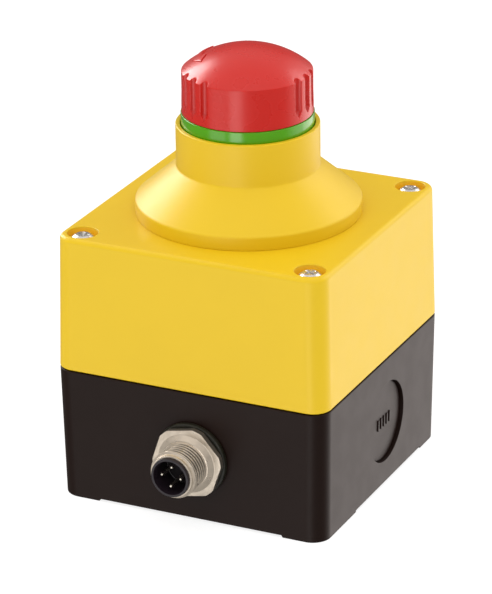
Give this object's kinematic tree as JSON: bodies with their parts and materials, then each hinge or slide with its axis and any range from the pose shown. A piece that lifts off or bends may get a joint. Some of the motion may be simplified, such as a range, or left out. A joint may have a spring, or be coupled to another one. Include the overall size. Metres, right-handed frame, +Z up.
{
  "type": "emergency stop button",
  "caption": "Twist-release emergency stop button with a cone-shaped guard collar on a two-part square enclosure with an M12 plug connector.",
  "frame": {"origin": "on the button's axis, in the plane that the four corner pads stand on; the underside between the pads is 0.7 mm above it", "axes": "+Z up along the button's axis, -Y out of the wall that carries the plug connector, +X towards the wall with a knock-out on its right"},
  "size_m": [0.072, 0.0842, 0.1103],
  "materials": {
    "yellow_plastic": "fine moulded texture, semi-matt",
    "black_plastic": "fine moulded texture, matt",
    "red_plastic": "satin moulded",
    "green_plastic": "satin moulded",
    "grey_plastic": "moulded",
    "white_plastic": "moulded",
    "rubber": "matt",
    "nickel": "nickel plate, satin",
    "screw_steel": "zinc plate",
    "spring_steel": "drawn wire",
    "brass": "plain",
    "pin_metal": "plated contact",
    "wire_brown": "PVC sleeve",
    "wire_white": "PVC sleeve",
    "wire_blue": "PVC sleeve",
    "wire_black": "PVC sleeve"
  },
  "bodies": {
    "enclosure": {"base_housing": "black_plastic", "cover_housing": "yellow_plastic", "cover_gasket": "rubber", "cover_screw_1": "screw_steel", "cover_screw_2": "screw_steel", "cover_screw_3": "screw_steel", "cover_screw_4": "screw_steel", "guard_cone": "yellow_plastic", "guard_sleeve": "yellow_plastic", "guard_hub": "yellow_plastic", "panel_gasket": "rubber", "actuator_bushing": "black_plastic", "bushing_nut": "grey_plastic", "stem_seal": "rubber", "latch_ring": "spring_steel", "return_spring": "spring_steel", "contact_carrier": "black_plastic", "contact_housing_left": "grey_plastic", "contact_housing_right": "grey_plastic", "contact_lid_left": "white_plastic", "contact_lid_right": "white_plastic", "fixed_contact_left_front": "brass", "fixed_contact_left_rear": "brass", "fixed_contact_right_front": "brass", "fixed_contact_right_rear": "brass", "terminal_screw_left_front": "screw_steel", "terminal_screw_left_rear": "screw_steel", "terminal_screw_right_front": "screw_steel", "terminal_screw_right_rear": "screw_steel", "contact_spring_left": "spring_steel", "contact_spring_right": "spring_steel", "connector_shell": "nickel", "connector_seal": "rubber", "connector_insert": "black_plastic", "connector_pin_1": "pin_metal", "connector_pin_2": "pin_metal", "connector_pin_3": "pin_metal", "connector_pin_4": "pin_metal", "connector_lock_nut": "nickel", "lead_wire_1": "wire_brown", "lead_wire_2": "wire_white", "lead_wire_3": "wire_blue", "lead_wire_4": "wire_black"},
    "plunger": {"stem": "white_plastic", "pusher": "white_plastic", "pusher_screw": "screw_steel", "retaining_clip": "spring_steel"},
    "head": {"head_cap": "red_plastic", "indicator_ring": "green_plastic", "twist_sleeve": "black_plastic", "reset_spring": "spring_steel"},
    "contact_slide_left": {"contact_plunger_left": "red_plastic", "contact_bridge_left": "brass"},
    "contact_slide_right": {"contact_plunger_right": "red_plastic", "contact_bridge_right": "brass"}
  },
  "joints": [
    {"name": "button_press", "type": "slide", "parent": "enclosure", "child": "plunger", "axis": [0, 0, -1], "range_m": [0, 0.004], "stiffness_N_per_m": 2500, "springref_m": -0.004, "deforming": ["return_spring"]},
    {"name": "button_twist", "type": "hinge", "parent": "plunger", "child": "head", "pos_m": [0, 0, 0.1], "axis": [0, 0, 1], "range_deg": [0, 45], "stiffness_Nm_per_rad": 0.05, "springref_deg": -17.19},
    {"name": "contact_press_left", "type": "slide", "parent": "enclosure", "child": "contact_slide_left", "axis": [0, 0, -1], "range_m": [0, 0.004], "deforming": ["contact_spring_left"]},
    {"name": "contact_press_right", "type": "slide", "parent": "enclosure", "child": "contact_slide_right", "axis": [0, 0, -1], "range_m": [0, 0.004], "deforming": ["contact_spring_right"]}
  ],
  "couplings": [
    {"joint": "contact_press_left", "follows": "button_press", "ratio": 1},
    {"joint": "contact_press_right", "follows": "button_press", "ratio": 1}
  ]
}
